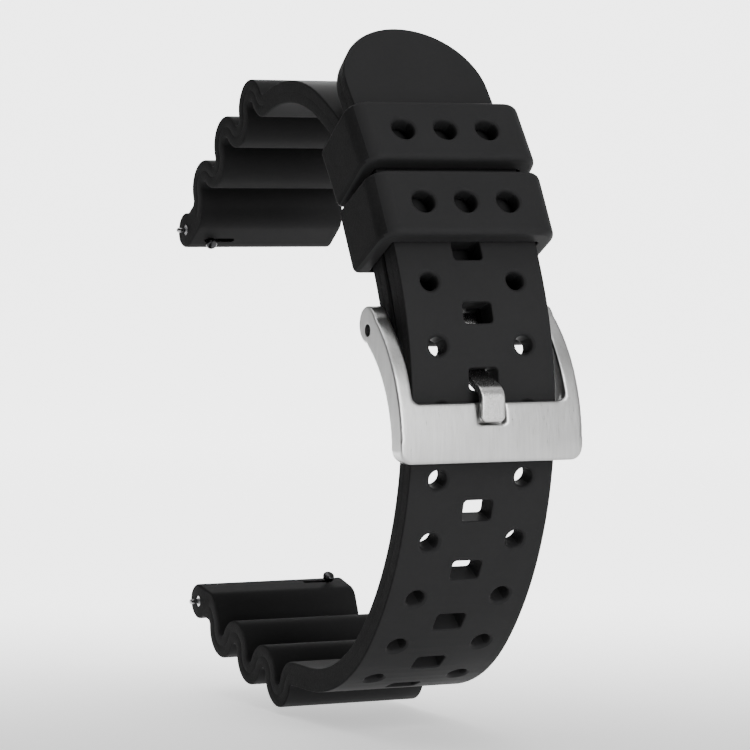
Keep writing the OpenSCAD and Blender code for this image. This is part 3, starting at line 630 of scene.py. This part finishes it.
def polished_frame():
    """The buckle's frame with all its edges rolled over, as tumbling leaves them."""
    mesh = bmesh.new()
    mesh.from_mesh(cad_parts["buckle_frame"].data)
    bmesh.ops.scale(mesh, vec=(1 / MM, 1 / MM, 1 / MM), verts=mesh.verts)
    bmesh.ops.remove_doubles(mesh, verts=mesh.verts, dist=FINE_MERGE)
    rough = as_object("rough", mesh)
    even = rough.modifiers.new("even", "REMESH")
    even.mode = "VOXEL"
    even.voxel_size = FRAME_GRID
    tumble = rough.modifiers.new("tumble", "SMOOTH")
    tumble.factor = 0.5
    tumble.iterations = FRAME_TUMBLE
    result = bmesh.new()
    result.from_object(rough, bpy.context.evaluated_depsgraph_get())
    bpy.data.objects.remove(rough)
    return bored(result, FRAME_HOLE_R, bar)


def tongue_strip():
    """Bent steel strip whose curled end turns on the buckle's bar."""
    heading = buckle_turn - TONGUE_FALL + TONGUE_CURL
    start = bar + TONGUE_EYE_R * left(heading)
    steps = [(TONGUE_EYE_R, -TONGUE_CURL)] + TONGUE_BENDS
    width, thickness = TONGUE_STRIP
    route = Route((start.x, start.y, heading), steps, thickness)
    half = width / 2
    outline = rounded_rect((0, -half), (route.length, half),
                           [TONGUE_CORNER, TONGUE_TIP_R, TONGUE_TIP_R, TONGUE_CORNER])
    mesh = slab(outline, -thickness / 2, thickness / 2, TONGUE_EDGE, 4)
    slice_along(mesh, 0, route.stations(TONGUE_STEP_TURN, TONGUE_STEP_LEN)[1:-1])
    strip = half - TONGUE_EDGE - EDGE_STRIP
    slice_along(mesh, 1, (-strip, strip))
    narrow_from, narrow_to = route.lengths[1] + TONGUE_NARROWS_AFTER, route.lengths[2]

    def width_at(s, place):
        passed = min(max((s - narrow_from) / (narrow_to - narrow_from), 0), 1)
        return STRAP_WIDTH * (TONGUE_EYE_W + (width - TONGUE_EYE_W) * passed) / width

    bend(mesh, route, width_at, lambda s: (-thickness / 2, thickness / 2))
    return mesh


def release_knob(lug, heading, side):
    """Turned knob of a quick-release bar: a stud, a collar and a domed head."""
    profile = KNOB_STUD + arc(*KNOB_RIM, -90, 0, 4) + arc(*KNOB_DOME, 0, 80, 5) + [(0, KNOB_TOP)]
    mesh = bmesh.new()
    verts = [mesh.verts.new((r, 0, z)) for r, z in profile]
    edges = [mesh.edges.new(pair) for pair in zip(verts, verts[1:])]
    bmesh.ops.spin(mesh, geom=verts + edges, cent=(0, 0, 0), axis=(0, 0, 1), angle=2 * pi,
                   steps=KNOB_FACETS, use_merge=True)
    bmesh.ops.remove_doubles(mesh, verts=mesh.verts, dist=FINE_MERGE)
    sideways = Matrix.Translation((0, side * KNOB_Y, 0))
    turn = at(lug, heading) @ sideways @ Matrix.Rotation(pi / 2, 4, "Y")
    bmesh.ops.transform(mesh, matrix=turn, verts=mesh.verts)
    return mesh


class Value:
    """A shader socket that takes part in arithmetic."""

    def __init__(self, paint, socket):
        self.paint = paint
        self.socket = socket

    def __add__(self, other):
        return self.paint.math("ADD", self, other)

    __radd__ = __add__

    def __sub__(self, other):
        return self.paint.math("SUBTRACT", self, other)

    def __rsub__(self, other):
        return self.paint.math("SUBTRACT", other, self)

    def __mul__(self, other):
        return self.paint.math("MULTIPLY", self, other)

    __rmul__ = __mul__


class Paint:
    """The nodes of a material or of the world."""

    def __init__(self, owner):
        owner.use_nodes = True
        self.owner = owner
        self.tree = owner.node_tree
        self.tree.nodes.clear()

    def node(self, kind, settings=None, sockets=None, output=0):
        """Makes a node: its settings first, then the values or links of its sockets."""
        made = self.tree.nodes.new("ShaderNode" + kind)
        for name, value in (settings or {}).items():
            setattr(made, name, value)
        for name, value in (sockets or {}).items():
            if isinstance(value, Value):
                self.tree.links.new(value.socket, made.inputs[name])
            else:
                made.inputs[name].default_value = value
        return Value(self, made.outputs[output]) if made.outputs else None

    def math(self, operation, first, second):
        return self.node("Math", {"operation": operation}, {0: first, 1: second})

    def mix(self, factor, first, second):
        return self.node("Mix", {"data_type": "RGBA"}, {0: factor, 6: first, 7: second}, 2)

    def fade(self, value, full, none):
        """One where a value is below full, and softly down to zero where it is above none."""
        return self.node("MapRange", {"interpolation_type": "SMOOTHSTEP"},
                         {"Value": value, "From Min": full, "From Max": none, "To Min": 1.0,
                          "To Max": 0.0})

    def place(self, scale=(1, 1, 1), turn=(0, 0, 0)):
        """Object coordinates, turned and stretched."""
        coordinates = self.node("TexCoord", output=3)
        turned = self.node("Mapping", None, {"Vector": coordinates, "Rotation": turn})
        return self.node("Mapping", None, {"Vector": turned, "Scale": scale})

    def noise(self, where, size, detail=2.0, roughness=0.5):
        """Noise whose features are about size metres across."""
        return self.node("TexNoise", None, {"Vector": where, "Scale": 1 / size, "Detail": detail,
                                            "Roughness": roughness})

    def finish(self, sockets, height=None, depth=0.0):
        """Ends the material in one shader, with a bump of that depth in metres."""
        if height is not None:
            bump = self.node("Bump", None, {"Height": height, "Distance": depth, "Strength": 1.0})
            sockets = sockets | {"Normal": bump}
        shader = self.node("BsdfPrincipled", None, sockets)
        self.node("OutputMaterial", None, {"Surface": shader})
        return self.owner


def moulded_rubber(name, dark, light, roughness, gloss, grain, depth):
    """Satin rubber: a fine moulded grain and faint clouds of tone and gloss."""
    paint = Paint(bpy.data.materials.new(name))
    where = paint.place()
    clouds = paint.noise(where, size=0.009, detail=3)
    flecks = paint.noise(where, size=0.00045)
    tone = clouds * 0.7 + flecks * 0.3
    fine = paint.noise(where, size=grain, detail=4, roughness=0.65)
    return paint.finish(
        {"Base Color": paint.mix(tone, dark, light),
         "Roughness": roughness - 0.06 + clouds * 0.08 + fine * 0.06,
         "Specular IOR Level": gloss},
        fine, depth)


def brushed_steel(name, base, roughness, lines, turn):
    """Steel brushed one way, with so many lines a metre along each of its turned axes."""
    paint = Paint(bpy.data.materials.new(name))
    where = paint.place(lines, turn)
    scratches = paint.noise(where, size=1, detail=5, roughness=0.7)
    coarse = paint.noise(paint.place([v * 0.35 for v in lines], turn), size=1, detail=3)
    clouds = paint.noise(paint.place(), size=0.004)
    tone = scratches * 0.5 + coarse * 0.3 + clouds * 0.2
    dark = [0.6 * v for v in base] + [1]
    light = [1.3 * v for v in base] + [1]
    return paint.finish(
        {"Base Color": paint.mix(tone, dark, light), "Metallic": 1.0,
         "Roughness": roughness - 0.08 + scratches * 0.16},
        scratches, depth=0.00001)


def turned_steel(name, base, roughness):
    """Turned steel with fine tool rings."""
    paint = Paint(bpy.data.materials.new(name))
    rings = paint.noise(paint.place(scale=(900, 30000, 900)), size=1)
    clouds = paint.noise(paint.place(), size=0.0015)
    dark = [0.8 * v for v in base] + [1]
    light = list(base) + [1]
    return paint.finish({"Base Color": paint.mix(clouds, dark, light), "Metallic": 1.0,
                         "Roughness": roughness - 0.04 + rings * 0.1}, rings, depth=0.000002)


def studio_white():
    """White paper with a painted glow that lights the strap: full behind it, fading out under it
    and to the sides.
    """
    paint = Paint(bpy.data.materials.new("studio_white"))
    clouds = paint.noise(paint.place(), size=0.2)
    seen = paint.place(turn=(0, 0, CAMERA_YAW))
    towards = paint.node("SeparateXYZ", None, {0: seen}, 0)
    across = paint.node("SeparateXYZ", None, {0: seen}, 1)
    behind = paint.fade(towards, *PAPER_DIM)
    middle = paint.fade(across, *PAPER_SIDE) * paint.fade(across * -1, *PAPER_SIDE)
    # Painted glow: the paper gives off its own light, full behind the strap and dim under it and
    # to the sides, so it lights the strap like a lamp.
    painted_glow = paint.mix(behind * middle, (0.1, 0.1, 0.1, 1), (1, 1, 1, 1))
    paper = paint.mix(clouds, (0.86, 0.86, 0.86, 1), (0.9, 0.9, 0.9, 1))
    return paint.finish({"Base Color": paper, "Roughness": 0.9, "Specular IOR Level": 0.0,
                         "Emission Color": painted_glow, "Emission Strength": 3.0})


rubber_face = moulded_rubber("rubber_face", dark=(0.0165, 0.0165, 0.017, 1),
                             light=(0.023, 0.023, 0.0235, 1), roughness=0.5, gloss=0.05,
                             grain=0.00012, depth=0.000006)
# Side walls: a coarser moulded grain, and a darker base colour that is painted shade on the walls.
rubber_side_shaded = moulded_rubber("rubber_side_shaded", dark=(0.005, 0.005, 0.0052, 1),
                             light=(0.022, 0.022, 0.0224, 1), roughness=0.65, gloss=0.03,
                             grain=0.0003, depth=0.00005)
# Wrist side: less gloss, and a base colour a little darker than the faces that is painted shade
# inside the loop.
rubber_wrist_shaded = moulded_rubber("rubber_wrist_shaded", dark=(0.015, 0.015, 0.0153, 1),
                              light=(0.021, 0.021, 0.0214, 1), roughness=0.65, gloss=0.02,
                              grain=0.0002, depth=0.000012)
frame_steel = brushed_steel("frame_steel", base=(0.56, 0.56, 0.555), roughness=0.3,
                            lines=(3600, 4800, 200), turn=(0, radians(buckle_turn), 0))
tongue_steel = brushed_steel("tongue_steel", base=(0.62, 0.615, 0.61), roughness=0.26,
                             lines=(7000, 11000, 300), turn=(0, radians(buckle_turn), 0))
bar_steel = turned_steel("bar_steel", base=(0.55, 0.55, 0.56), roughness=0.2)
knob_steel = turned_steel("knob_steel", base=(0.05, 0.05, 0.052), roughness=0.14)
dark_steel = turned_steel("dark_steel", base=(0.06, 0.06, 0.062), roughness=0.4)
spring_steel = turned_steel("spring_steel", base=(0.5, 0.5, 0.5), roughness=0.35)


def paint_rubber(piece, route=None):
    """Smooth outer faces; grainier side walls whose darker tone is painted shade; and, on a strap,
    a less glossy wrist side whose darker tone is painted shade inside the loop.
    """
    for material in (rubber_face, rubber_side_shaded, rubber_wrist_shaded):
        piece.data.materials.append(material)
    middle = KDTree(ROUTE_SAMPLES + 1)
    outward = []
    for k in range(ROUTE_SAMPLES + 1 if route else 0):
        x, z, heading = route.pose(route.length * k / ROUTE_SAMPLES)
        middle.insert((x * MM, 0, z * MM), k)
        outward.append(left(heading))
    middle.balance()
    for face in piece.data.polygons:
        # Side walls and wrist-side faces take the rubbers whose darker tone is painted shade.
        if abs(face.normal.y) > WALL_FACING:
            face.material_index = 1
        elif route:
            nearest = middle.find((face.center.x, 0, face.center.z))[1]
            facing = Vector((face.normal.x, face.normal.z)).dot(outward[nearest])
            face.material_index = 2 if facing < WRIST_FACING else 0


for name, make, route, node in (("short_strap_rubber", short_strap, short, "buckle_strap"),
                                ("tail_rubber", tail_strap, tail, "tail_strap")):
    paint_rubber(new_piece(name, make(), "strap", [node]), route)

lower_angle = lift_heading + 90 + degrees(KEEPER_ABOVE / tail_face_r)
upper_angle = lower_angle + degrees((KEEPER_LEN + KEEPER_GAP) / tail_face_r)
paint_rubber(new_piece("lower_keeper_rubber", keeper(lower_angle), "lower_keeper_body",
                       ["lower_keeper"]))
paint_rubber(new_piece("upper_keeper_rubber", keeper(upper_angle), "upper_keeper_body",
                       ["upper_keeper"]))

buckle = new_piece("buckle_frame_steel", polished_frame(), "frame", ["buckle_frame"],
                   50)
buckle.data.materials.append(frame_steel)
tongue = new_piece("buckle_tongue_steel", tongue_strip(), "tongue", ["buckle_tongue"], 50)
tongue.data.materials.append(tongue_steel)

lower_lug = tail.poses[-1]
for name, lug, heading, side, body in (
        ("top", SHORT_START, SHORT_START[2] - 90 + KNOB_LEAN, -1, "top_release"),
        ("bottom", lower_lug, lower_lug[2] + 270 - KNOB_LEAN, 1, "bottom_release")):
    knob = new_piece(name + "_knob_steel", release_knob(lug, heading, side), body,
                     [name + "_release_knob"])
    knob.data.materials.append(knob_steel)

for node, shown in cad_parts.items():
    shown.data.materials.clear()
    if "spring" in node:
        shown.data.materials.append(spring_steel)
    elif node.startswith("buckle_bar"):
        shown.data.materials.append(dark_steel)
    elif "pin" in node or "tube" in node or "knob" in node:
        shown.data.materials.append(bar_steel)
    elif node in ("buckle_frame", "buckle_tongue"):
        shown.data.materials.append(frame_steel)
    else:
        shown.data.materials.append(rubber_face)


def camera():
    """The photograph's camera: long lens, a little above level, from the buckle side."""
    yaw, pitch = CAMERA_YAW, CAMERA_PITCH
    right = Vector((sin(yaw), cos(yaw), 0))
    level = Vector((-cos(yaw), sin(yaw), 0))
    forward = level * cos(pitch) - Vector((0, 0, 1)) * sin(pitch)
    up = right.cross(forward)
    data = bpy.data.cameras.new("camera")
    data.sensor_width = SENSOR_W
    data.lens = LENS_PIXELS * SENSOR_W / PICTURE_PIXELS
    made = bpy.data.objects.new("camera", data)
    bpy.context.scene.collection.objects.link(made)
    place = Vector(CAMERA_AIM) + right * CAMERA_SHIFT[0] + up * CAMERA_SHIFT[1]
    place -= forward * CAMERA_FAR
    turn = Matrix((right, up, -forward)).transposed().to_4x4()
    made.matrix_world = Matrix.Translation(place * MM) @ turn
    bpy.context.scene.camera = made


camera()


def studio():
    """Pale paper that lies under the strap and curves up behind it."""
    mesh = bmesh.new()
    low = cad_box[0][2] - PAPER_UNDER
    profile = [(PAPER_FRONT, low), (PAPER_BACK, low)]
    profile += arc((PAPER_BACK, low + PAPER_CURVE_R), PAPER_CURVE_R, 270, 180, 12)[1:]
    profile += [(PAPER_BACK - PAPER_CURVE_R, low + PAPER_TOP)]
    verts = [mesh.verts.new((x, -PAPER_HALF_W, z)) for x, z in profile]
    edges = [mesh.edges.new(pair) for pair in zip(verts, verts[1:])]
    made = bmesh.ops.extrude_edge_only(mesh, edges=edges)["geom"]
    bmesh.ops.translate(mesh, vec=(0, 2 * PAPER_HALF_W, 0),
                        verts=[v for v in made if isinstance(v, bmesh.types.BMVert)])
    bmesh.ops.rotate(mesh, matrix=Matrix.Rotation(-CAMERA_YAW, 3, "Z"), verts=mesh.verts)
    floor = as_object("floor", mesh)
    floor.data.materials.append(studio_white())
    for face in floor.data.polygons:
        face.use_smooth = True


studio()


def lamp(name, place, aim, size, power):
    """A broad soft lamp that faces a place: metres and watts."""
    data = bpy.data.lights.new(name, "AREA")
    data.shape = "RECTANGLE"
    data.size, data.size_y = size
    data.energy = power
    made = bpy.data.objects.new(name, data)
    bpy.context.scene.collection.objects.link(made)
    towards = (Vector(aim) - Vector(place)).to_track_quat("-Z", "Y").to_matrix().to_4x4()
    made.matrix_world = Matrix.Translation(place) @ towards


middle = (cad_box[0] + cad_box[1]) / 2
lamp("key", place=(0.6, -0.5, 0.7), aim=middle, size=(0.5, 0.5), power=0.8)
lamp("front", place=(0.36, 0.045, 0.1), aim=middle, size=(0.14, 0.34), power=0.9)
lamp("top", place=(0.0, 0.0, 0.9), aim=middle, size=(0.8, 0.8), power=3.6)


def surroundings():
    """Even soft light all round, with a dimmer part of the room to the near side."""
    world = bpy.data.worlds.new("world")
    bpy.context.scene.world = world
    paint = Paint(world)
    direction = paint.node("TexCoord")
    x = paint.node("SeparateXYZ", None, {0: direction}, 0)
    y = paint.node("SeparateXYZ", None, {0: direction}, 1)
    lit = paint.fade(x * DIM_SIDE[0] + y * DIM_SIDE[1], *DIM_EDGE)
    strength = lit * ROOM_MORE + DIM_LIGHT
    light = paint.node("Background", None, {"Color": (1, 1, 1, 1), "Strength": strength})
    paint.node("OutputWorld", None, {"Surface": light})


surroundings()
